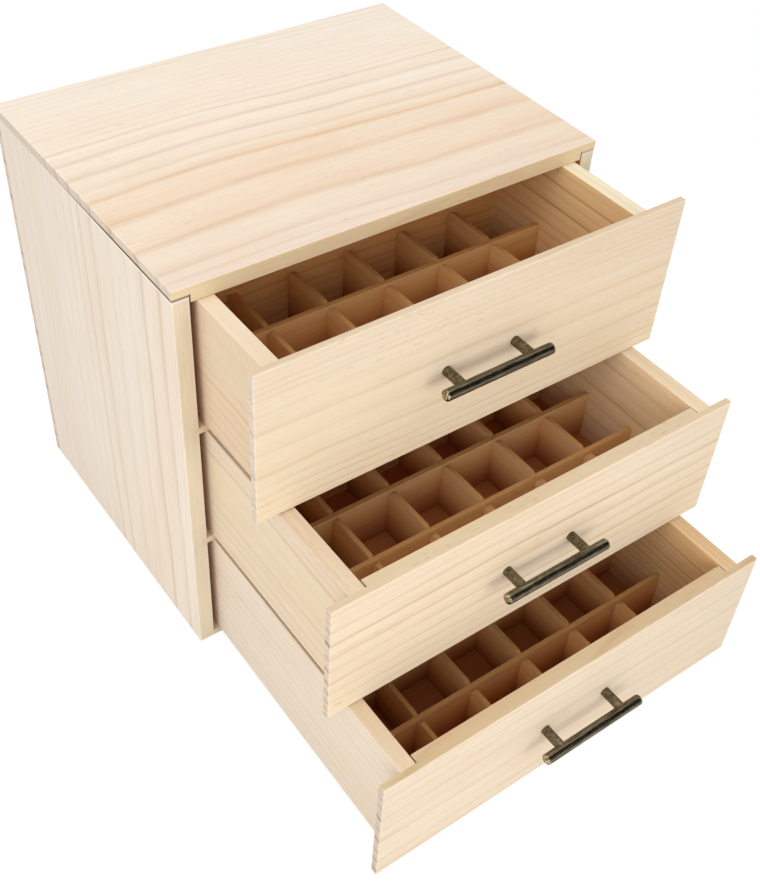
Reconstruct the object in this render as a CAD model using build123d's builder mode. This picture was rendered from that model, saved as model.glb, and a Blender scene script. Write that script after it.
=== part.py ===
from build123d import *
import os

os.makedirs("parts", exist_ok=True)

# Essential oil storage box, in millimetres: a pine cabinet with three divided drawers.
# X runs to the right as seen from the front, Y to the rear and Z up. The origin is the
# middle of the cabinet's underside. Each drawer is drawn where it stands, pulled out.

# Bottle cells, the same in every drawer
columns = 6
rows = 3
cell_width = 37.5        # clear width of a cell, left to right
cell_depth = 37.0        # clear depth of a cell, front to back
last_row_extra = 2.6     # how much deeper the cells of the last row are
grid_height = 36.5
divider = 3.0            # thickness of the strips that make the grid
divider_play = 0.2       # between the end of a strip and the drawer wall
slot_play = 0.15         # on each side of a strip, in the slot of the strip it crosses
long_tip_radius = 2.0    # rounding of a long strip's upper corners
cross_tip_radius = 6.0   # rounding of a cross strip's upper corners at its ends
slot_tip_radius = 4.0    # rounding of a cross strip's upper corners beside its slots

# Timber
board = 10.0             # top, cabinet sides, drawer walls and drawer fronts
sheet = 4.0              # shelves, cabinet floor and drawer floors
back_board = 5.0         # cabinet back, which covers the rear edges of the sides
groove = 4.0             # how far a sheet is let into a board
ease = 0.8               # softened outer edges of the cabinet and the fronts
wall_ease = 0.6          # softened upper edges of the drawer walls
top_lip = 5.0            # part of the cabinet top's thickness that lies on the sides
front_lip = 4.4          # part of a front's thickness that covers the cabinet's edges
shoulder_gap = 1.0       # beside the thick part of the cabinet top and of each front

# Drawers and the room they move in
drawer_height = 87.3
side_play = 4.8          # between a drawer wall and the cabinet side
under_play = 0.3         # between a drawer and what it slides on
over_play = 0.4          # between a drawer wall and what is above it
rear_play = 3.0          # behind a closed drawer
rear_bay = 67.4          # open part of a drawer, behind the partition that ends the cells
front_reveal = 1.0       # a front stops this far short of the cabinet's outer side
front_gap = 0.9          # between one front and the next
foot_gap = 0.5           # under the lowest front
top_pulled = 72.0
middle_pulled = 141.0
bottom_pulled = 193.5

# Handles
post_spacing = 48.0
post_radius = 3.1
bar_radius = 3.4
bar_length = 76.0
bar_reach = 16.0         # from the front's face to the middle of the bar
bar_end_round = 1.6
screw_radius = 2.0
screw_grip = 7.0         # length of the screw inside the post
thread_play = 0.05
hole_play = 0.25
head_radius = 3.8
head_height = 2.4
head_round = 0.9
recess_length = 4.4
recess_width = 0.9
recess_depth = 1.2

# Sizes that follow
column_step = cell_width + divider
row_step = cell_depth + divider
grid_width = columns * column_step - divider
grid_depth = rows * row_step - divider + last_row_extra
inside_width = grid_width + 2 * divider_play
front_bay = grid_depth + 2 * divider_play
drawer_width = inside_width + 2 * board
front_core = board - front_lip
drawer_length = front_core + front_bay + board + rear_bay + board
opening_width = drawer_width + 2 * side_play
opening_height = under_play + drawer_height + over_play
cabinet_width = opening_width + 2 * board
side_depth = drawer_length + rear_play
cabinet_depth = side_depth + back_board
slot_width = divider + 2 * slot_play
slot_depth = grid_height / 2

# The drawers from the lowest to the highest
drawers = (("bottom", bottom_pulled), ("middle", middle_pulled), ("top", top_pulled))
tiers = len(drawers)
tier_step = opening_height + sheet
cabinet_height = tiers * tier_step + board
side_height = cabinet_height - top_lip
front_plane = -cabinet_depth / 2
standing = (Align.CENTER, Align.MIN, Align.MIN)

# Cabinet top: rebated, so a lip lies on the sides and the back and the rest drops between them
with BuildPart() as top_panel:
    with BuildSketch(Plane.XZ.offset(-front_plane)):
        with Locations((0, cabinet_height - top_lip / 2)):
            Rectangle(cabinet_width, top_lip)
    extrude(amount=-cabinet_depth)
    with BuildSketch(Plane.XZ.offset(-front_plane)):
        with Locations((0, cabinet_height - board / 2)):
            Rectangle(opening_width - 2 * shoulder_gap, board)
    extrude(amount=-side_depth)
    fillet(top_panel.faces().sort_by(Axis.Z)[-1].edges(), ease)
top_panel.part.label = "top_panel"
export_step(top_panel.part, "parts/top_panel.step")

# Cabinet sides: the grooves for the shelves run out at the front and the rear
for side, side_name in ((-1, "left"), (1, "right")):
    groove_middle = side * (opening_width + groove) / 2
    shelf_grooves = [(groove_middle, tier * tier_step + sheet / 2) for tier in range(1, tiers)]
    with BuildPart() as side_panel:
        with BuildSketch(Plane.XZ.offset(-front_plane)):
            with Locations((side * (opening_width + board) / 2, side_height / 2)):
                Rectangle(board, side_height)
            with Locations(*shelf_grooves):
                Rectangle(groove, sheet, mode=Mode.SUBTRACT)
        extrude(amount=-side_depth)
        outer = 0 if side < 0 else -1
        fillet(side_panel.edges().filter_by(Axis.Z).group_by(Axis.X)[outer], ease)
    side_panel.part.label = f"{side_name}_side_panel"
    export_step(side_panel.part, f"parts/{side_name}_side_panel.step")

# Cabinet back, over the rear edges of the sides and under the lip of the top
with BuildPart(Plane((0, front_plane + side_depth, 0))) as back_panel:
    Box(cabinet_width, back_board, side_height, align=standing)
    fillet(back_panel.faces().sort_by(Axis.Y)[-1].edges().filter_by(Axis.Z), ease)
back_panel.part.label = "back_panel"
export_step(back_panel.part, "parts/back_panel.step")

# Cabinet floor, between the sides
with BuildPart(Plane((0, front_plane, 0))) as bottom_panel:
    Box(opening_width, side_depth, sheet, align=standing)
bottom_panel.part.label = "bottom_panel"
export_step(bottom_panel.part, "parts/bottom_panel.step")

# Shelves that carry the middle and the top drawer
for tier, shelf_name in ((1, "lower_shelf"), (2, "upper_shelf")):
    with BuildPart(Plane((0, front_plane, tier * tier_step))) as shelf:
        Box(opening_width + 2 * groove, side_depth, sheet, align=standing)
    shelf.part.label = shelf_name
    export_step(shelf.part, f"parts/{shelf_name}.step")

for tier, (drawer, pulled) in enumerate(drawers):
    base = tier * tier_step + sheet + under_play
    wall_top = base + drawer_height
    floor_top = base + sheet
    lip_back = front_plane - pulled
    face = lip_back - front_lip
    inner_face = face + board
    drawer_rear = lip_back + drawer_length
    front_base = foot_gap if tier == 0 else tier * tier_step - over_play + front_gap
    front_top = cabinet_height if tier == tiers - 1 else wall_top
    handle_middle = (front_base + front_top) / 2
    bar_line = face - bar_reach

    # Front: a thick core between the drawer walls and a thin lip that covers the cabinet's edges
    with BuildPart() as drawer_front:
        with BuildSketch(Plane.XZ.offset(-face)):
            with Locations((0, handle_middle)):
                Rectangle(cabinet_width - 2 * front_reveal, front_top - front_base)
        extrude(amount=-front_lip)
        with BuildSketch(Plane.XZ.offset(-lip_back)):
            with Locations((0, (floor_top + wall_top) / 2)):
                Rectangle(inside_width - 2 * shoulder_gap, wall_top - floor_top)
        extrude(amount=-front_core)
        fillet(drawer_front.faces().sort_by(Axis.Y)[0].edges(), ease)
        core_top = drawer_front.faces().sort_by(Axis.Y)[-1].edges().sort_by(Axis.Z)[-1]
        fillet(core_top, wall_ease)
        with BuildSketch(Plane.XZ.offset(-face)):
            with Locations((0, handle_middle)):
                with GridLocations(post_spacing, 0, 2, 1):
                    Circle(screw_radius + hole_play)
        extrude(amount=-board, mode=Mode.SUBTRACT)
    drawer_front.part.label = f"{drawer}_drawer_front"
    export_step(drawer_front.part, f"parts/{drawer}_drawer_front.step")

    # Side walls, rebated along the lower inner edge for the floor
    for side, side_name in ((-1, "left"), (1, "right")):
        with BuildPart() as drawer_side:
            with BuildSketch(Plane.XZ.offset(-lip_back)):
                with Locations((side * (inside_width + board) / 2, base + drawer_height / 2)):
                    Rectangle(board, drawer_height)
                with Locations((side * (inside_width + groove) / 2, base + sheet / 2)):
                    Rectangle(groove, sheet, mode=Mode.SUBTRACT)
            extrude(amount=-drawer_length)
            fillet(drawer_side.edges().filter_by(Axis.Y).group_by(Axis.Z)[-1], wall_ease)
        drawer_side.part.label = f"{drawer}_drawer_{side_name}_side"
        export_step(drawer_side.part, f"parts/{drawer}_drawer_{side_name}_side.step")

    # Partition behind the cells and rear wall, standing on the floor between the side walls
    for wall_name, wall_front in (("partition", inner_face + front_bay), ("back", drawer_rear - board)):
        with BuildPart(Plane((0, wall_front, floor_top))) as cross_wall:
            Box(inside_width, board, drawer_height - sheet, align=standing)
            fillet(cross_wall.edges().filter_by(Axis.X).group_by(Axis.Z)[-1], wall_ease)
        cross_wall.part.label = f"{drawer}_drawer_{wall_name}"
        export_step(cross_wall.part, f"parts/{drawer}_drawer_{wall_name}.step")

    with BuildPart(Plane((0, lip_back, base))) as drawer_floor:
        Box(inside_width + 2 * groove, drawer_length, sheet, align=standing)
    drawer_floor.part.label = f"{drawer}_drawer_floor"
    export_step(drawer_floor.part, f"parts/{drawer}_drawer_floor.step")

    # Long strips, left to right, slotted from below; number 1 is the nearest to the front
    grid_front = inner_face + divider_play
    column_lines = [(step - columns / 2) * column_step for step in range(1, columns)]
    row_lines = [grid_front + step * row_step - divider / 2 for step in range(1, rows)]
    for number, row_line in enumerate(row_lines, start=1):
        with BuildPart() as long_divider:
            with BuildSketch(Plane.XZ.offset(divider / 2 - row_line)) as strip:
                with Locations((0, floor_top + grid_height / 2)):
                    Rectangle(grid_width, grid_height)
                with Locations(*[(line, floor_top) for line in column_lines]):
                    Rectangle(slot_width, 2 * slot_depth, mode=Mode.SUBTRACT)
                fillet(strip.vertices().group_by(Axis.Y)[-1], long_tip_radius)
            extrude(amount=-divider)
        long_divider.part.label = f"{drawer}_drawer_long_divider_{number}"
        export_step(long_divider.part, f"parts/{drawer}_drawer_long_divider_{number}.step")

    # Cross strips, front to back, slotted from above; number 1 is the leftmost
    for number, column_line in enumerate(column_lines, start=1):
        with BuildPart() as cross_divider:
            with BuildSketch(Plane.YZ.offset(column_line - divider / 2)) as strip:
                with Locations((grid_front + grid_depth / 2, floor_top + grid_height / 2)):
                    Rectangle(grid_depth, grid_height)
                with Locations(*[(line, floor_top + grid_height) for line in row_lines]):
                    Rectangle(slot_width, 2 * slot_depth, mode=Mode.SUBTRACT)
                upper_corners = strip.vertices().group_by(Axis.Y)[-1].sort_by(Axis.X)
                fillet(upper_corners[1:-1], slot_tip_radius)
                upper_corners = strip.vertices().group_by(Axis.Y)[-1].sort_by(Axis.X)
                fillet((upper_corners[0], upper_corners[-1]), cross_tip_radius)
            extrude(amount=divider)
        cross_divider.part.label = f"{drawer}_drawer_cross_divider_{number}"
        export_step(cross_divider.part, f"parts/{drawer}_drawer_cross_divider_{number}.step")

    # Handle bar: a round rod with softened ends
    with BuildPart() as handle_bar:
        with BuildSketch(Plane.YZ.offset(-bar_length / 2)):
            with Locations((bar_line, handle_middle)):
                Circle(bar_radius)
        extrude(amount=bar_length)
        fillet(handle_bar.edges().filter_by(GeomType.CIRCLE), bar_end_round)
    handle_bar.part.label = f"{drawer}_handle_bar"
    export_step(handle_bar.part, f"parts/{drawer}_handle_bar.step")

    # Handle posts: their ends are hollowed to sit against the bar, and a thread is bored in each
    with BuildPart() as handle_posts:
        with BuildSketch(Plane.XZ.offset(-face)):
            with Locations((0, handle_middle)):
                with GridLocations(post_spacing, 0, 2, 1):
                    Circle(post_radius)
        extrude(amount=bar_reach)
        with BuildSketch(Plane.YZ.offset(-bar_length / 2)):
            with Locations((bar_line, handle_middle)):
                Circle(bar_radius)
        extrude(amount=bar_length, mode=Mode.SUBTRACT)
        with BuildSketch(Plane.XZ.offset(-face)):
            with Locations((0, handle_middle)):
                with GridLocations(post_spacing, 0, 2, 1):
                    Circle(screw_radius + thread_play)
        extrude(amount=screw_grip + thread_play, mode=Mode.SUBTRACT)
    handle_posts.part.label = f"{drawer}_handle_posts"
    export_step(handle_posts.part, f"parts/{drawer}_handle_posts.step")

    # Handle screws: pan heads with a cross recess against the inner face of the front
    with BuildPart() as handle_screws:
        with BuildSketch(Plane.XZ.offset(-inner_face)):
            with Locations((0, handle_middle)):
                with GridLocations(post_spacing, 0, 2, 1):
                    Circle(head_radius)
        extrude(amount=-head_height)
        rims = handle_screws.edges().filter_by(GeomType.CIRCLE).group_by(Axis.Y)[-1]
        fillet(rims, head_round)
        with BuildSketch(Plane.XZ.offset(-inner_face)):
            with Locations((0, handle_middle)):
                with GridLocations(post_spacing, 0, 2, 1):
                    Circle(screw_radius)
        extrude(amount=board + screw_grip)
        with BuildSketch(Plane.XZ.offset(-inner_face - head_height)):
            with Locations((0, handle_middle)):
                with GridLocations(post_spacing, 0, 2, 1):
                    Rectangle(recess_length, recess_width)
                    Rectangle(recess_width, recess_length)
        extrude(amount=recess_depth, mode=Mode.SUBTRACT)
    handle_screws.part.label = f"{drawer}_handle_screws"
    export_step(handle_screws.part, f"parts/{drawer}_handle_screws.step")
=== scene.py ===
import math
import random

import bpy
from mathutils import Matrix, Vector


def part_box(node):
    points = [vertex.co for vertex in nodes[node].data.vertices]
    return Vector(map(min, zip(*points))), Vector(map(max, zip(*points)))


# Looks of the essential oil storage box: pale pine boards, browner divider strips and
# antique bronze handles. Every CAD solid is shown as it is, with a material of its own.

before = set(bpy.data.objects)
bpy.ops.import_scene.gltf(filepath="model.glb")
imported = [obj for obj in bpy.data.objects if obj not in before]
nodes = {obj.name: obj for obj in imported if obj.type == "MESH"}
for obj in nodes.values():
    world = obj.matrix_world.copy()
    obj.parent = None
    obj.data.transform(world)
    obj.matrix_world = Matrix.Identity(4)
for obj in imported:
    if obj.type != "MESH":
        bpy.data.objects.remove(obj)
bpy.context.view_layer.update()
drawers = ("top", "middle", "bottom")
X, Y, Z = 0, 1, 2
mm_per_metre = 1000.0

# Camera, at the photograph's place, in metres and degrees
camera_place = (-0.357188, -0.553722, 0.652910)
camera_azimuth = 38.431
camera_dip = 43.820
camera_roll = 3.959
focal_pixels = 1204.202
frame_long_side = 885
sensor = 36.0
near_clip = 0.01

# Lamps: place and size in metres, power in watts
lamps = {"key_lamp": ((-0.07, -0.76, 0.34), 0.3, 1.25),
         "over_lamp": ((0.0, -0.1, 1.75), 1.4, 7.2),
         "fill_lamp": ((-1.25, -0.62, 0.70), 1.2, 6.6)}
lamp_target = (0.0, -0.15, 0.15)
world_strength = 0.66
background_strength = 1.0

# Floor: its size in metres, its own glow, and the greys that scatter light to the camera and
# to the object
floor_size = 8.0
floor_glow = 0.90
floor_catch = 0.14
floor_bounce = 0.80

# Dark studio card: an arc round the front and the top, in metres and degrees
card_radius = 2.4
card_half = 3.0
card_low, card_high, card_steps = 10, 82, 12
card_dark = 0.02

# The curve between screen levels and linear light
screen_levels = 255
foot_end, foot_slope = 0.04045, 12.92
curve_offset, curve_whole, curve_power = 0.055, 1.055, 2.4

# The sockets of Blender's Mix node that are for colours
mix_factor, mix_first, mix_second, mix_result = 0, 6, 7, 2

# Noises of the wood: scale along the grain, across it and through the board, detail, roughness
slow_wave = ((9, 22, 22), 1.0)
quick_wave = ((45, 160, 160), 2.0)
patches = ((10, 60, 60), 2.0)
mottling = ((7, 30, 30), 3.0, 0.6)
fibre_noise = ((26, 620, 620), 3.0, 0.65)
fleck_noise = ((120, 1000, 1000), 1.0)
fleck_crowds = ((14, 40, 40), 1.0)
pore_noise = ((900, 900, 900), 2.0)
rubbing = ((60, 160, 160), 2.0)
noise_middle = 0.5

# Levels of those noises at which what they make begins and is full, and how strong it is
patch_span, patch_least, patch_swing = (0.25, 0.65), 0.4, 0.6
mottle_span = (0.3, 0.75)
fibre_span, fibre_dark = (0.2, 0.75), 0.08
fleck_span, crowd_span = (0.66, 0.76), (0.42, 0.62)
pore_span, pore_strength = (0.45, 0.7), 0.25
rub_span = (0.25, 0.6)

# How squarely a face looks along an axis, where its own tone begins and is full
facing_span = (0.6, 0.8)

# Growth rings: reach of the two waves and of the drift, and the rings past the edges, in mm
slow_reach, quick_reach, drift_reach = 5.0, 1.3, 40.0
ring_margin = 20.0

# From one ring to the next: the profile of its band and of its line, and what is added before
# rounding down to the ring that gives the strengths
band_profile = [(0.0, 0.5), (0.12, 0.04), (0.30, 0.02), (0.70, 0.45), (0.92, 1.0), (1.0, 0.5)]
line_profile = [(0.0, 0.7), (0.10, 0.0), (0.80, 0.0), (0.95, 1.0), (1.0, 0.7)]
ring_lead = 0.75

# Marks of the rings where the grain ends
end_line_swing, end_line_least, end_band_share = 0.8, 0.15, 0.5

# A board's seed moves its noises along the three axes by these steps
seed_steps = (0.37, 0.53, 0.71)

# Rings drawn by chance: the first one's place, the strengths of line and band, the wander
first_range, line_range, band_range = (0.2, 0.9), (0.1, 0.9), (0.2, 0.9)
ring_wander = 0.35

# Edges paler by wear and by painted highlight, in metres, and the painted shade of the joint under
# the cabinet top, in millimetres below it, with how far it is open from the back to the front
edge_span = (0.0011, 0.0003)
seam_span, rim_span = (1.7, 1.2), (3.0, 2.3)
seam_opening = ((0.0, 0.15), (0.35, 0.35), (0.55, 0.70), (0.75, 1.0), (0.97, 0.9), (1.0, 0.7))

# Sanded wood: roughness, gloss, and ridges along the grain with their depth in metres
wood_rough, wood_rough_swing = 0.54, 0.16
wood_gloss = 0.15
ridge_fibres, ridge_lines = 0.7, -0.3
ridge_strength, ridge_depth = 0.35, 0.00025

# Bronze and steel: noises, roughness, relief with its depth in metres, and the wear that
# begins and is full at these distances from a bar's ends, in metres
streak_noise, streak_share = ((60, 2400, 2400), 3.0, 0.6), 0.75
cloud_noise, cloud_share = ((160, 400, 400), 3.0, 0.6), 0.25
worn_noise, worn_span = ((500, 500, 500), 2.0), (0.40, 0.62)
worn_start, worn_full = 0.0022, 0.0004
bronze_rough, bronze_rough_swing = 0.16, 0.25
bronze_relief = (0.3, 0.0001)
steel_noise = ((900, 900, 900), 3.0, 0.6)
steel_rough, steel_rough_swing = 0.2, 0.3
steel_relief = (0.2, 0.00005)


def tone(red, green, blue):
    """A screen colour, 0 to 255, as a linear colour."""
    levels = []
    for value in (red, green, blue):
        share = value / screen_levels
        if share <= foot_end:
            levels.append(share / foot_slope)
        else:
            levels.append(((share + curve_offset) / curve_whole) ** curve_power)
    return (*levels, 1.0)


def shades(*rows):
    """Tones across a board; a row is a place from 0 to 1, a pale and a strong screen colour."""
    return [(place, tone(*pale), tone(*strong)) for place, pale, strong in rows]


def grey(level):
    """A linear grey of that level."""
    return (level, level, level, 1.0)


class Look:
    """A material and short ways to add nodes to it."""

    def __init__(self, name):
        self.material = bpy.data.materials.new(name)
        self.material.use_nodes = True
        self.tree = self.material.node_tree
        self.surface = self.tree.nodes["Principled BSDF"]

    def add(self, kind, **settings):
        node = self.tree.nodes.new("ShaderNode" + kind)
        for key, value in settings.items():
            setattr(node, key, value)
        return node

    def put(self, socket, value):
        if isinstance(value, bpy.types.NodeSocket):
            self.tree.links.new(value, socket)
        else:
            socket.default_value = value

    def give(self, name, value):
        """Links or sets one of the shader's own sockets."""
        self.put(self.surface.inputs[name], value)

    def math(self, operation, first, second=0.0, clamp=False):
        node = self.add("Math", operation=operation, use_clamp=clamp)
        self.put(node.inputs[0], first)
        self.put(node.inputs[1], second)
        return node.outputs[0]

    def times(self, *values):
        """The product of two or more values."""
        product = values[0]
        for value in values[1:]:
            product = self.math("MULTIPLY", product, value)
        return product

    def swung(self, value, swing, least):
        """From the least for a value of 0 to the least plus the swing for a value of 1."""
        return self.math("ADD", self.times(value, swing), least)

    def centred(self, value, reach):
        """Half the reach to either side of 0, for a value from 0 to 1."""
        return self.times(self.math("SUBTRACT", value, noise_middle), reach)

    def vector(self, operation, first, second):
        node = self.add("VectorMath", operation=operation)
        self.put(node.inputs[0], first)
        self.put(node.inputs[1], second)
        return node.outputs["Vector"]

    def split(self, vector):
        node = self.add("SeparateXYZ")
        self.put(node.inputs[0], vector)
        return node.outputs

    def mix(self, factor, first, second, blend="MIX"):
        node = self.add("Mix", data_type="RGBA", blend_type=blend)
        self.put(node.inputs[mix_factor], factor)
        self.put(node.inputs[mix_first], first)
        self.put(node.inputs[mix_second], second)
        return node.outputs[mix_result]

    def noise(self, coordinates, scale, detail, roughness=0.5):
        node = self.add("TexNoise")
        self.put(node.inputs["Vector"], self.vector("MULTIPLY", coordinates, scale))
        node.inputs["Scale"].default_value = 1.0
        node.inputs["Detail"].default_value = detail
        node.inputs["Roughness"].default_value = roughness
        return node.outputs["Fac"]

    def ramp(self, value, stops, smooth=True):
        """Colour or grey along a value; the stops are (place, level or colour)."""
        node = self.add("ValToRGB")
        node.color_ramp.interpolation = "EASE" if smooth else "LINEAR"
        elements = node.color_ramp.elements
        while len(elements) < len(stops):
            elements.new(0.5)
        for element, (place, level) in zip(elements, stops):
            element.position = place
            element.color = level if isinstance(level, tuple) else grey(level)
        self.put(node.inputs[0], value)
        return node.outputs["Color"]

    def curve(self, value, points, smooth=True):
        """A curve through points from 0 to 1, or straight runs between them."""
        node = self.add("FloatCurve")
        line = node.mapping.curves[0]
        for place, level in points[1:-1]:
            line.points.new(place, level)
        ends = zip((line.points[0], line.points[-1]), (points[0], points[-1]))
        for point, (place, level) in ends:
            point.location = (place, level)
        for point in line.points:
            point.handle_type = "AUTO_CLAMPED" if smooth else "VECTOR"
        node.mapping.update()
        self.put(node.inputs["Value"], value)
        return node.outputs[0]

    def span(self, value, low, high):
        """0 at low, 1 at high, level outside."""
        node = self.add("MapRange")
        self.put(node.inputs["Value"], value)
        node.inputs["From Min"].default_value = low
        node.inputs["From Max"].default_value = high
        return node.outputs["Result"]

    def bump(self, height, strength, depth):
        """Fine relief on the shader, with its depth in metres."""
        node = self.add("Bump")
        node.inputs["Strength"].default_value = strength
        node.inputs["Distance"].default_value = depth
        self.put(node.inputs["Height"], height)
        self.give("Normal", node.outputs[0])


def dress(name, material):
    """Gives a CAD node its finished material."""
    slots = nodes[name].data.materials
    slots.clear()
    slots.append(material)


def even_rings(seed, width, spacing):
    """Growth rings for a board whose own aren't named, all in millimetres.

    A ring is its place, the strength of its line and the strength of its band.
    """
    chance = random.Random(seed)
    rings = []
    place = spacing * chance.uniform(*first_range)
    while place < width:
        rings.append((place, chance.uniform(*line_range), chance.uniform(*band_range)))
        place += spacing * chance.uniform(1 - ring_wander, 1 + ring_wander)
    return rings


def with_margins(rings, reach):
    """The rings of a board as wide as the reach, and more of them past both of its edges."""
    first, last = rings[0], rings[-1]
    first_step = rings[1][0] - first[0]
    last_step = last[0] - rings[-2][0]
    before = range(int((first[0] + ring_margin) / first_step) + 1, 0, -1)
    after = range(1, int((reach + ring_margin - last[0]) / last_step) + 2)
    return ([(first[0] - first_step * k, *first[1:]) for k in before] + list(rings)
            + [(last[0] + last_step * k, *last[1:]) for k in after])


def ring_marks(look, across_mm, rings):
    """Band and line at a distance across the board, and the nearest ring's strengths of both."""
    # The rings' places become whole numbers of a count that rises across the board
    total = len(rings) - 1
    origin = rings[0][0]
    length = rings[-1][0] - origin
    share = look.math("DIVIDE", look.math("SUBTRACT", across_mm, origin), length)
    points = [((ring[0] - origin) / length, number / total) for number, ring in enumerate(rings)]
    phase = look.times(look.curve(share, points), float(total))
    part = look.math("FRACT", phase)
    nearest = look.math("FLOOR", look.math("ADD", phase, ring_lead))
    nearest = look.math("DIVIDE", nearest, float(total))
    line_power, band_power = (
        look.curve(nearest, [(k / total, ring[which]) for k, ring in enumerate(rings)],
                   smooth=False)
        for which in (1, 2))
    return look.ramp(part, band_profile), look.ramp(part, line_profile), line_power, band_power


def near_edges(look, places, low, high):
    """1 at the edges of a board, where two of its faces meet, and 0 away from them."""
    gaps = []
    for axis in (X, Y, Z):
        from_low = look.math("SUBTRACT", places[axis], low[axis])
        from_high = look.math("SUBTRACT", high[axis], places[axis])
        gaps.append(look.math("MINIMUM", from_low, from_high))
    nearer = look.math("MINIMUM", gaps[X], gaps[Y])
    further = look.math("MAXIMUM", gaps[X], gaps[Y])
    second = look.math("MAXIMUM", nearer, look.math("MINIMUM", further, gaps[Z]))
    return look.span(second, *edge_span)


pine_tones = shades((0.0, (244, 225, 202), (228, 200, 166)),
                    (1.0, (243, 223, 198), (226, 196, 160)))
pine_end = (tone(224, 208, 190), tone(166, 140, 118), 0.6)
line_tone = tone(190, 158, 122)
# Pale tone of the edges: wear, and also a painted highlight where eased edges catch light
worn_and_highlit_tone = tone(250, 238, 220)
# Painted shade of the joint gap under the cabinet top
seam_shade_tone = tone(82, 46, 16)
mottle_tone = tone(252, 246, 240)
straight = ((0.0, 0.0), (1.0, 0.0))


def wood(node, name, grain, across, rings, tones=pine_tones, drift=straight, from_high=True,
         face_high=True, band=0.7, line=0.5, lean=0.3, faces=(), seed=0, end=pine_end,
         dark=line_tone, fleck=0.45, wear_and_highlight=0.30, seam_shade=0.0):
    """Gives a board wood with its growth rings at given places, in millimetres across it.

    They are counted from the board's high or low edge, on its high or low face, and lean
    through its thickness.
    """
    look = Look(name)
    deep = X + Y + Z - grain - across
    low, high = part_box(node)
    start = high[across] if from_high else low[across]
    reach = (high[across] - low[across]) * mm_per_metre
    direction = -1 if from_high else 1
    face = high[deep] if face_high else low[deep]
    coordinates = look.add("TexCoord")
    places = look.split(coordinates.outputs["Object"])
    joined = look.add("CombineXYZ")
    for socket, axis in zip(joined.inputs, (grain, across, deep)):
        look.put(socket, places[axis])
    shifted = look.vector("ADD", joined.outputs[0], tuple(seed * step for step in seed_steps))

    # Distance across the board in millimetres, bent by the board's drift and by two waves
    distance = look.times(look.math("SUBTRACT", places[across], start), mm_per_metre * direction)
    travel = look.span(places[grain], low[grain], high[grain])
    drift_points = [(place, noise_middle + shift / drift_reach) for place, shift in drift]
    bend = look.curve(travel, drift_points)
    wide = look.centred(look.noise(shifted, *slow_wave), slow_reach)
    fine = look.centred(look.noise(shifted, *quick_wave), quick_reach)
    slope = look.times(look.math("SUBTRACT", places[deep], face), mm_per_metre * lean)
    across_mm = look.math("SUBTRACT", distance, look.centred(bend, drift_reach))
    for shift in (wide, fine, slope):
        across_mm = look.math("ADD", across_mm, shift)

    # Bands and lines of the rings, stronger in patches, and their marks where the grain ends
    broad, thin, line_power, band_power = ring_marks(look, across_mm, with_margins(rings, reach))
    patch = look.span(look.noise(shifted, *patches), *patch_span)
    patch = look.swung(patch, patch_swing, patch_least)
    end_mark = look.times(look.math("ADD", look.times(broad, end_band_share), thin),
                          look.swung(line_power, end_line_swing, end_line_least))
    broad = look.times(broad, band_power, patch)
    thin = look.times(thin, line_power, patch)

    # Colour: pale wood, warm bands, thin darker lines, then soft patches, fibres and flecks
    where = look.math("DIVIDE", across_mm, reach, clamp=True)
    pale = look.ramp(where, [(stop, light) for stop, light, _ in tones], smooth=False)
    warm = look.ramp(where, [(stop, strong) for stop, _, strong in tones], smooth=False)
    colour = look.mix(look.times(broad, band), pale, warm)
    colour = look.mix(look.times(thin, line), colour, dark)
    mottle = look.span(look.noise(shifted, *mottling), *mottle_span)
    colour = look.mix(mottle, colour, mottle_tone, "MULTIPLY")
    fibres = look.noise(shifted, *fibre_noise)
    fibre_shade = look.ramp(fibres, list(zip(fibre_span, (1 - fibre_dark, 1.0))))
    colour = look.mix(1.0, colour, fibre_shade, "MULTIPLY")
    flecks = look.span(look.noise(shifted, *fleck_noise), *fleck_span)
    crowd = look.span(look.noise(shifted, *fleck_crowds), *crowd_span)
    colour = look.mix(look.times(flecks, crowd, fleck), colour, dark)

    # Faces that the caller gives a tone of their own: mostly painted light and shade on faces that
    # face a given way, besides some edges' own tones
    normal = look.split(coordinates.outputs["Normal"])
    for axis, sign, kept in faces:
        facing = look.span(look.times(normal[axis], float(sign)), *facing_span)
        colour = look.mix(facing, colour, (*kept, 1.0), "MULTIPLY")

    # Paler along the board's edges: partly wear from sanding and handling, partly a painted
    # highlight where eased edges catch light
    edge = near_edges(look, places, low, high)
    rubbed = look.span(look.noise(shifted, *rubbing), *rub_span)
    colour = look.mix(look.times(edge, rubbed, wear_and_highlight), colour, worn_and_highlit_tone)

    # Under the cabinet top: a dark line, painted shade of a joint gap that the shape doesn't have,
    # and a paler edge below it
    if seam_shade > 0:
        below = look.times(look.math("SUBTRACT", high[Z], places[Z]), mm_per_metre)
        forward = look.span(places[Y], high[Y], low[Y])
        opening = look.times(look.curve(forward, seam_opening), seam_shade)
        gap_shade = look.times(look.span(below, *seam_span), opening)
        rim = look.times(look.span(below, *rim_span), opening)
        colour = look.mix(rim, colour, worn_and_highlit_tone)
        colour = look.mix(gap_shade, colour, seam_shade_tone)

    # The ends of the grain, with the rings' marks and with pores
    end_light, end_dark, end_lines = end
    ends = look.span(look.math("ABSOLUTE", normal[grain]), *facing_span)
    pores = look.span(look.noise(shifted, *pore_noise), *pore_span)
    marked = look.math("MULTIPLY", end_mark, end_lines, clamp=True)
    end_colour = look.mix(marked, end_light, end_dark)
    end_colour = look.mix(look.times(pores, pore_strength), end_colour, end_dark)
    look.give("Base Color", look.mix(ends, colour, end_colour))

    # Sanded surface: slightly ridged along the grain
    look.give("Roughness", look.swung(fibres, wood_rough_swing, wood_rough))
    look.give("Specular IOR Level", wood_gloss)
    height = look.math("ADD", look.times(fibres, ridge_fibres), look.times(thin, ridge_lines))
    look.bump(height, ridge_strength, ridge_depth)
    dress(node, look.material)


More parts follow.
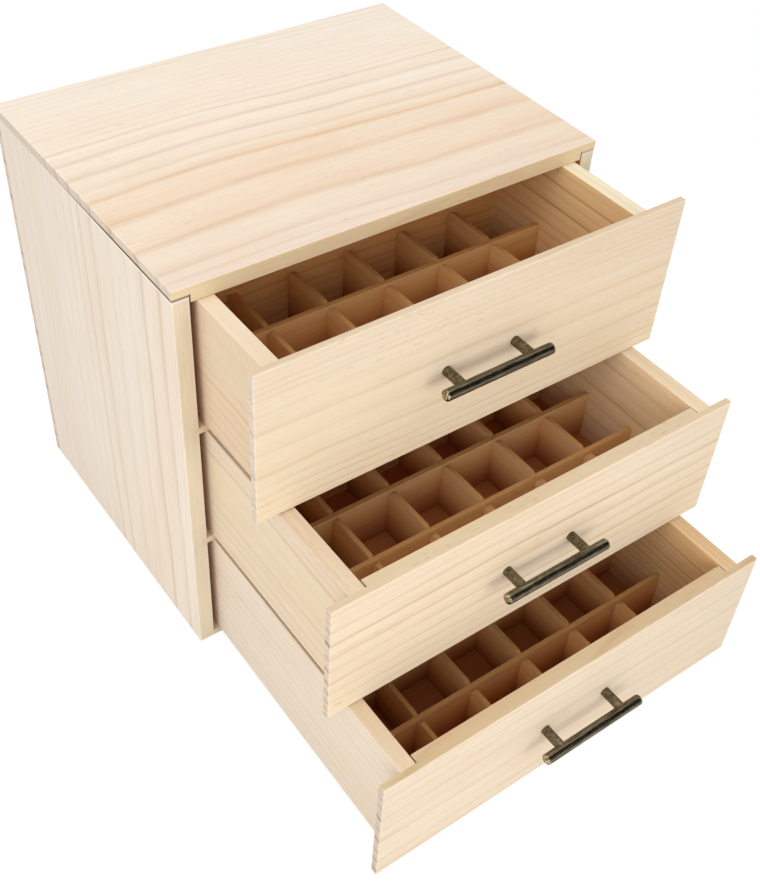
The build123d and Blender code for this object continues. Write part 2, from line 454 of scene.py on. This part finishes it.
# Cabinet. A ring is its place in millimetres, the strength of its line and of its band
top_rings = [(8, 0.5, 0.2), (14, 0.2, 0.1), (19, 0.2, 0.1), (24, 0.25, 0.1), (29, 0.15, 0.1),
             (33, 0.25, 0.1), (38, 0.2, 0.1), (43, 0.2, 0.1), (48, 0.25, 0.1), (54, 0.2, 0.15),
             (60, 0.25, 0.15), (66, 0.2, 0.2), (72, 0.7, 0.35), (86, 0.45, 0.65), (103, 0.5, 0.6),
             (117, 0.35, 0.45), (129, 0.35, 0.95), (154, 0.35, 0.8), (184, 0.4, 0.75),
             (207, 0.3, 0.6), (216, 0.2, 0.4)]
top_tones = shades((0.0, (253, 240, 224), (243, 225, 205)),
                   (0.45, (252, 238, 220), (238, 216, 190)),
                   (0.58, (249, 231, 209), (241, 208, 172)),
                   (0.85, (247, 229, 208), (238, 206, 174)),
                   (1.0, (242, 225, 208), (230, 206, 182)))
top_drift = ((0.0, 0.0), (0.27, -3.0), (0.6, 3.0), (1.0, 8.0))
top_edge = (Y, -1, (0.98, 0.95, 0.76))
wood("top_panel", "pine_top", X, Y, top_rings, top_tones, top_drift, band=1.0, line=0.42, seed=1,
     lean=0.6, faces=(top_edge,), wear_and_highlight=0.15)

side_rings = [(12, 0.3, 0.3), (25, 0.3, 0.3), (38, 0.3, 0.3), (46, 0.3, 0.3), (52, 0.45, 0.2),
              (57, 0.4, 0.2), (62, 0.45, 0.2), (67, 0.35, 0.2), (74, 0.3, 0.3), (85, 0.4, 0.3),
              (97, 0.4, 0.3), (108, 0.9, 0.7), (123, 0.9, 0.8), (145, 0.3, 0.4), (165, 0.4, 0.4),
              (183, 0.9, 0.8), (203, 0.9, 0.7)]
side_tones = shades((0.0, (243, 231, 217), (228, 212, 194)),
                    (1.0, (246, 233, 216), (230, 213, 192)))
left_side_drift = ((0.0, 1.5), (0.5, 0.0), (1.0, 0.5))
right_side_drift = ((0.0, 0.0), (0.6, 2.5), (1.0, 1.0))
back_drift = ((0.0, 2.0), (0.4, -3.0), (1.0, 4.0))
side_edge = (Y, -1, (0.96, 0.97, 0.90))
sheet_edge = (Y, -1, (1.0, 0.98, 0.91))
# Painted shade: the cabinet sides' inner faces darker and warmer, for the gaps beside the drawers
inner_painted_shade = (0.72, 0.38, 0.14)
wood("left_side_panel", "pine_left_side", Z, Y, side_rings, side_tones, left_side_drift,
     face_high=False, band=0.5, line=0.3, seed=2, faces=(side_edge, (X, 1, inner_painted_shade)), seam_shade=1.0)
wood("right_side_panel", "pine_right_side", Z, Y, even_rings(3, width=216, spacing=12), side_tones,
     right_side_drift, band=0.6, line=0.4, seed=3, faces=(side_edge, (X, -1, inner_painted_shade)), seam_shade=0.6)
wood("back_panel", "pine_back", X, Z, even_rings(5, width=281, spacing=15), drift=back_drift,
     seed=5)
for seed, name in enumerate(("bottom_panel", "lower_shelf", "upper_shelf"), start=30):
    wood(name, f"sheet_{name}", X, Y, even_rings(seed, width=216, spacing=11), from_high=False,
         seed=seed, line=0.3, faces=(sheet_edge,))

# Drawer fronts: rings, drift, tones, line strength, grain ends, and painted shade on the upper edge
front_rings = {
    "top": [(2, 0.4, 0.3), (6, 0.2, 0.2), (10, 0.5, 0.3), (14, 0.45, 0.3), (18, 0.4, 0.3),
            (28, 0.15, 0.2), (40, 0.4, 0.6), (55, 0.25, 0.4), (70, 0.5, 0.5), (78, 0.2, 0.2),
            (85, 0.5, 0.5), (90, 0.8, 0.3), (96, 0.8, 0.4), (99.5, 0.6, 0.2)],
    "middle": [(3, 0.2, 0.2), (9, 0.2, 0.2), (16, 0.4, 0.4), (27.5, 0.8, 0.5), (40, 0.2, 1.0),
               (50, 0.4, 0.5), (61, 0.5, 0.6), (70, 0.4, 0.4), (78, 0.4, 0.4), (85, 0.4, 0.3)],
    "bottom": [(1.5, 0.2, 0.7), (7, 0.15, 0.2), (13, 0.2, 0.7), (22, 0.2, 0.3), (33, 0.6, 0.4),
               (45, 0.2, 0.2), (56, 0.5, 0.5), (68, 0.2, 0.3), (79, 0.4, 0.4)]}
front_drift = {"top": ((0.0, -1.0), (0.5, 1.5), (1.0, 4.0)),
               "middle": ((0.0, 0.0), (0.5, 0.5), (1.0, 3.0)),
               "bottom": ((0.0, -2.0), (0.35, 2.0), (1.0, 11.0))}
front_tones = {
    "top": shades((0.0, (230, 213, 189), (219, 193, 161)),
                  (1.0, (240, 223, 193), (226, 197, 156))),
    "middle": shades((0.0, (231, 215, 191), (219, 191, 155)),
                     (1.0, (242, 226, 199), (228, 198, 158))),
    "bottom": shades((0.0, (228, 213, 190), (216, 190, 154)),
                     (0.5, (229, 213, 190), (216, 193, 162)),
                     (1.0, (235, 220, 197), (222, 198, 165)))}
front_line = {"top": 0.40, "middle": 0.66, "bottom": 0.43}
front_end = {"top": (tone(228, 213, 194), tone(168, 144, 124), 0.6),
             "middle": (tone(226, 208, 188), tone(146, 118, 96), 0.9),
             "bottom": (tone(218, 200, 182), tone(142, 114, 96), 0.9)}
# Painted shade on the fronts' upper faces, deeper on the lower drawers
front_top_shade = {"top": (1.0, 0.97, 0.92), "middle": (0.89, 0.86, 0.78), "bottom": (0.78, 0.70, 0.57)}

# Drawer walls: rings, drift, tones, and painted light and shade on upper edges, insides, outsides
left_rings = {
    "top": [(14, 0.15, 0.2), (30, 0.1, 0.2), (42, 0.3, 0.6), (50, 0.6, 0.8), (57, 0.35, 0.6),
            (64, 0.6, 0.7), (71, 0.3, 0.4), (79, 0.5, 0.5)],
    "middle": [(9, 0.2, 0.5), (16, 0.6, 0.9), (30, 0.15, 0.2), (48, 0.15, 0.3), (58, 0.5, 0.6),
               (66, 0.3, 0.4), (75, 0.4, 0.5)],
    "bottom": [(4, 0.3, 0.3), (12, 0.35, 0.4), (19, 0.3, 0.3), (27, 0.4, 0.4), (34, 0.3, 0.3),
               (42, 0.4, 0.4), (50, 0.3, 0.3), (57, 0.4, 0.4), (65, 0.3, 0.3), (73, 0.4, 0.4),
               (81, 0.3, 0.3)]}
right_rings = {
    "top": [(5, 0.2, 0.3), (14, 0.9, 0.5), (21, 0.2, 0.4), (29, 0.8, 1.0), (36, 0.2, 0.3),
            (42.5, 0.7, 0.5), (50, 0.3, 0.5), (58, 0.4, 0.5), (67, 0.3, 0.4), (77, 0.3, 0.4)],
    "middle": [(8, 0.15, 0.3), (17, 0.25, 0.8), (28, 0.1, 0.3), (40, 0.3, 0.9), (52, 0.2, 0.4),
               (64, 0.3, 0.5), (76, 0.2, 0.4)],
    "bottom": [(4, 0.3, 0.5), (8, 0.5, 0.5), (11, 0.3, 0.4), (16, 0.9, 0.7), (20, 0.3, 0.4),
               (24, 0.4, 0.5), (28, 0.9, 0.8), (34, 0.5, 0.5), (41, 0.6, 0.6), (46, 0.4, 0.5),
               (52, 0.4, 0.5), (60, 0.4, 0.5), (68, 0.4, 0.4), (77, 0.3, 0.4)]}
left_drift = ((0.0, 2.0), (0.5, -1.0), (1.0, 3.0))
right_drift = ((0.0, 1.0), (0.5, 0.0), (1.0, -1.0))
rear_drift = ((0.0, 3.0), (0.45, -1.0), (1.0, 4.0))
wall_tones = {
    "top": shades((0.0, (243, 222, 193), (228, 198, 160)),
                  (1.0, (242, 220, 190), (226, 194, 154))),
    "middle": pine_tones,
    "bottom": shades((0.0, (243, 228, 211), (226, 204, 180)),
                     (1.0, (242, 227, 210), (224, 202, 176)))}
left_tones = {
    "top": shades((0.0, (243, 224, 196), (229, 201, 166)),
                  (0.4, (244, 225, 197), (229, 200, 164)),
                  (0.6, (245, 220, 190), (226, 186, 146)),
                  (1.0, (242, 221, 192), (226, 194, 154))),
    "middle": shades((0.0, (244, 225, 204), (230, 198, 166)),
                     (0.3, (245, 228, 201), (229, 201, 162)),
                     (1.0, (243, 223, 198), (226, 196, 160))),
    "bottom": wall_tones["bottom"]}
right_dark = tone(168, 122, 76)
# Painted light on the top drawer's wall tops, painted shade on the lower drawers' wall tops
wall_top_light_and_shade = {"top": (1.08, 1.18, 1.20), "middle": (0.92, 0.92, 0.86), "bottom": (0.80, 0.67, 0.47)}
left_top_light_and_shade = {"top": (1.02, 1.02, 1.04), "middle": (0.85, 0.83, 0.76), "bottom": (0.80, 0.76, 0.65)}
# Painted warm shade on the inner faces of the drawers' fronts and walls
inside_painted_shade = {"top": (1.10, 0.97, 0.71), "middle": (1.03, 0.98, 0.81), "bottom": (0.90, 0.70, 0.42)}
# Painted shade, slightly darker and greyer, on the left walls' outer faces
outside_painted_shade = {"top": (0.92, 0.91, 0.89), "middle": (0.94, 0.95, 0.93), "bottom": (0.97, 0.98, 0.96)}
# Painted warm shade on the partitions' and backs' faces behind the cells
behind_cells_painted_shade = {"top": (1.10, 0.84, 0.50), "middle": (1.03, 0.69, 0.38),
                "bottom": (0.80, 0.52, 0.30)}

# Divider strips, their own brown deepened towards the floor by painted shade, and the drawers'
# floors
strip_low_painted_shade = (1.0, (176, 102, 50), (158, 88, 40))
strip_tones = {
    "top": shades((0.0, (245, 206, 149), (230, 186, 126)),
                  (0.3, (239, 189, 126), (223, 169, 108)), strip_low_painted_shade),
    "middle": shades((0.0, (247, 209, 156), (231, 189, 132)),
                     (0.3, (241, 193, 134), (224, 172, 112)), strip_low_painted_shade),
    "bottom": shades((0.0, (244, 200, 144), (228, 180, 120)),
                     (0.3, (236, 182, 120), (216, 160, 100)), strip_low_painted_shade)}
strip_top = (0.62, 0.49, 0.36)
strip_dark = tone(160, 108, 62)
strip_end = (tone(196, 142, 90), tone(150, 98, 58), 0.5)
# The floors' brown: partly their own tone, partly painted shade of the deep cells
drawer_floor_tones_and_shade = shades((0.0, (188, 120, 68), (174, 106, 56)), (1.0, (186, 118, 66), (172, 104, 54)))

# Seeds: the first drawer's, the step to the next drawer, and each piece's own step from its
# drawer's
first_seed, drawer_step = 40, 20
left_step, right_step, partition_step, floor_step, back_step = 1, 2, 3, 4, 17

# Divider strips in a drawer: kind, grain, how many, and the step that their seeds count on from
strip_kinds = (("long", X, 2, 4), ("cross", Y, 5, 10))
for order, drawer in enumerate(drawers):
    seed = first_seed + drawer_step * order
    piece = f"{drawer}_drawer"
    wood(f"{piece}_front", f"pine_{drawer}_front", X, Z, front_rings[drawer], front_tones[drawer],
         front_drift[drawer], face_high=False, band=0.8, line=front_line[drawer], seed=seed,
         lean=0.25, faces=((Z, 1, front_top_shade[drawer]), (Y, 1, inside_painted_shade[drawer])),
         end=front_end[drawer], fleck=0.6, wear_and_highlight=0.15)
    wood(f"{piece}_left_side", f"pine_{drawer}_left", Y, Z, left_rings[drawer], left_tones[drawer],
         left_drift, face_high=False, band=0.7, line=0.34, lean=1.2,
         seed=seed + left_step, wear_and_highlight=0.1,
         faces=((Z, 1, left_top_light_and_shade[drawer]), (X, 1, inside_painted_shade[drawer]), (X, -1, outside_painted_shade[drawer])))
    wood(f"{piece}_right_side", f"pine_{drawer}_right", Y, Z, right_rings[drawer],
         wall_tones[drawer], right_drift, face_high=False, band=1.0, line=0.65, lean=1.2,
         seed=seed + right_step, wear_and_highlight=0.1, dark=right_dark,
         faces=((Z, 1, wall_top_light_and_shade[drawer]), (X, -1, inside_painted_shade[drawer])))
    for wall, wall_seed in (("partition", seed + partition_step), ("back", seed + back_step)):
        wood(f"{piece}_{wall}", f"pine_{drawer}_{wall}", X, Z,
             even_rings(wall_seed, width=83, spacing=8), wall_tones[drawer], rear_drift,
             seed=wall_seed, face_high=False, band=0.9, line=0.7, wear_and_highlight=0.1,
             faces=((Z, 1, wall_top_light_and_shade[drawer]), (Y, -1, behind_cells_painted_shade[drawer])))
    floor_seed = seed + floor_step
    wood(f"{piece}_floor", f"sheet_{drawer}_floor", X, Y,
         even_rings(floor_seed, width=213, spacing=12), drawer_floor_tones_and_shade, seed=floor_seed,
         from_high=False, band=0.4, line=0.2)
    for kind, grain, count, kind_step in strip_kinds:
        for number in range(1, count + 1):
            strip_seed = seed + kind_step + number
            wood(f"{piece}_{kind}_divider_{number}", f"strip_{drawer}_{kind}_{number}", grain, Z,
                 even_rings(strip_seed, width=36, spacing=10), strip_tones[drawer], band=0.4,
                 line=0.15, dark=strip_dark, seed=strip_seed, end=strip_end, fleck=0.3, wear_and_highlight=0.0,
                 faces=((Z, 1, strip_top),))

# Handles
bronze_tones = [(0.34, tone(52, 44, 34)), (0.50, tone(104, 96, 78)), (0.66, tone(158, 148, 124))]
bronze_worn = tone(206, 190, 152)
steel_tones = [(0.3, tone(150, 150, 146)), (0.7, tone(196, 194, 188))]


def bronze(name, bar_half):
    """Dark oxidised bronze, brushed lengthwise and worn paler at the ends."""
    look = Look(name)
    coordinates = look.add("TexCoord").outputs["Object"]
    streaks = look.noise(coordinates, *streak_noise)
    cloud = look.noise(coordinates, *cloud_noise)
    shade = look.math("ADD", look.times(streaks, streak_share), look.times(cloud, cloud_share))
    from_middle = look.math("ABSOLUTE", look.split(coordinates)[X])
    worn = look.span(from_middle, bar_half - worn_start, bar_half - worn_full)
    patchy = look.span(look.noise(coordinates, *worn_noise), *worn_span)
    colour = look.mix(look.times(worn, patchy), look.ramp(shade, bronze_tones), bronze_worn)
    look.give("Base Color", colour)
    look.give("Metallic", 1.0)
    look.give("Roughness", look.swung(cloud, bronze_rough_swing, bronze_rough))
    look.bump(streaks, *bronze_relief)
    return look.material


def steel(name):
    """Zinc plated steel, slightly mottled."""
    look = Look(name)
    cloud = look.noise(look.add("TexCoord").outputs["Object"], *steel_noise)
    look.give("Base Color", look.ramp(cloud, steel_tones))
    look.give("Metallic", 1.0)
    look.give("Roughness", look.swung(cloud, steel_rough_swing, steel_rough))
    look.bump(cloud, *steel_relief)
    return look.material


bar_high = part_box("top_handle_bar")[1]
handle_bronze = bronze("antique_bronze_look", bar_high.x)
screw_steel = steel("screw_steel_look")
for drawer in drawers:
    dress(f"{drawer}_handle_bar", handle_bronze)
    dress(f"{drawer}_handle_posts", handle_bronze)
    dress(f"{drawer}_handle_screws", screw_steel)


def linked(name, data):
    """A new object in the scene."""
    holder = bpy.data.objects.new(name, data)
    bpy.context.scene.collection.objects.link(holder)
    return holder


def studio_mesh(name, points, faces, material):
    """A mesh of the studio, which isn't part of the object."""
    mesh = bpy.data.meshes.new(name)
    mesh.from_pydata(points, [], faces)
    mesh.materials.append(material)
    return linked(name, mesh)


# Dark studio card in front of and above the object, seen only by what is reflected in the
# handles
card_points = []
for step in range(card_steps + 1):
    rise = math.radians(card_low + (card_high - card_low) * step / card_steps)
    for end_x in (-card_half, card_half):
        card_points.append((end_x, -card_radius * math.cos(rise), card_radius * math.sin(rise)))
card_faces = [(2 * k, 2 * k + 1, 2 * k + 3, 2 * k + 2) for k in range(card_steps)]
card_look = Look("card_look")
card_look.give("Base Color", grey(card_dark))
card_look.give("Roughness", 1.0)
card = studio_mesh("dark_card", card_points, card_faces, card_look.material)
card.visible_camera = False
card.visible_diffuse = False
card.visible_shadow = False
card.visible_transmission = False


def seen_or_scattered(tree, scattered, seen, output):
    """Ends a node tree with one shader for light that is scattered, another for what is seen.

    Seen is what the camera, a mirror or glass sees, so metal and glass show the background.
    """
    path = tree.nodes.new("ShaderNodeLightPath")
    total = path.outputs["Is Camera Ray"]
    for ray in ("Is Glossy Ray", "Is Transmission Ray"):
        both = tree.nodes.new("ShaderNodeMath")
        both.operation = "MAXIMUM"
        tree.links.new(total, both.inputs[0])
        tree.links.new(path.outputs[ray], both.inputs[1])
        total = both.outputs[0]
    choice = tree.nodes.new("ShaderNodeMixShader")
    for socket, value in zip(choice.inputs, (total, scattered.outputs[0], seen.outputs[0])):
        tree.links.new(value, socket)
    tree.links.new(choice.outputs[0], tree.nodes.new(output).inputs[0])


# Floor: it bounces light as a pale floor does, and is seen as the white background with a
# faint shadow
floor_look = bpy.data.materials.new("floor_look")
floor_look.use_nodes = True
tree = floor_look.node_tree
tree.nodes.clear()
bounce = tree.nodes.new("ShaderNodeBsdfDiffuse")
bounce.inputs[0].default_value = grey(floor_bounce)
glow = tree.nodes.new("ShaderNodeEmission")
glow.inputs["Strength"].default_value = floor_glow
catch = tree.nodes.new("ShaderNodeBsdfDiffuse")
catch.inputs[0].default_value = grey(floor_catch)
glow_and_catch = tree.nodes.new("ShaderNodeAddShader")
tree.links.new(glow.outputs[0], glow_and_catch.inputs[0])
tree.links.new(catch.outputs[0], glow_and_catch.inputs[1])
seen_or_scattered(tree, bounce, glow_and_catch, "ShaderNodeOutputMaterial")
half = floor_size / 2
floor_corners = [(-half, -half, 0), (half, -half, 0), (half, half, 0), (-half, half, 0)]
floor = studio_mesh("floor", floor_corners, [(0, 1, 2, 3)], floor_look)

# World: soft light for the object, and white where it is seen
world = bpy.data.worlds.new("studio")
bpy.context.scene.world = world
world.use_nodes = True
tree = world.node_tree
tree.nodes.clear()
soft = tree.nodes.new("ShaderNodeBackground")
white = tree.nodes.new("ShaderNodeBackground")
for shade, strength in ((soft, world_strength), (white, background_strength)):
    shade.inputs["Color"].default_value = grey(1.0)
    shade.inputs["Strength"].default_value = strength
seen_or_scattered(tree, soft, white, "ShaderNodeOutputWorld")

# Soft square lamps that look at the object
for name, (place, size, power) in lamps.items():
    light = bpy.data.lights.new(name, "AREA")
    light.shape = "SQUARE"
    light.size = size
    light.energy = power
    holder = linked(name, light)
    holder.location = place
    away = Vector(place) - Vector(lamp_target)
    holder.rotation_euler = away.to_track_quat("Z", "Y").to_euler()
    holder.visible_camera = False

# Camera
azimuth, dip, roll = (math.radians(a) for a in (camera_azimuth, camera_dip, camera_roll))
look_way = Vector((math.sin(azimuth) * math.cos(dip), math.cos(azimuth) * math.cos(dip),
                   -math.sin(dip)))
level = Vector((math.cos(azimuth), -math.sin(azimuth), 0.0))
above = level.cross(look_way)
right = math.cos(roll) * level + math.sin(roll) * above
up = -math.sin(roll) * level + math.cos(roll) * above
camera_data = bpy.data.cameras.new("camera")
camera_data.sensor_width = sensor
camera_data.lens = focal_pixels * sensor / frame_long_side
camera_data.clip_start = near_clip
camera = linked("camera", camera_data)
turn = Matrix((right, up, -look_way)).transposed().to_4x4()
camera.matrix_world = Matrix.Translation(camera_place) @ turn
bpy.context.scene.camera = camera
bpy.context.scene.view_settings.view_transform = "Standard"
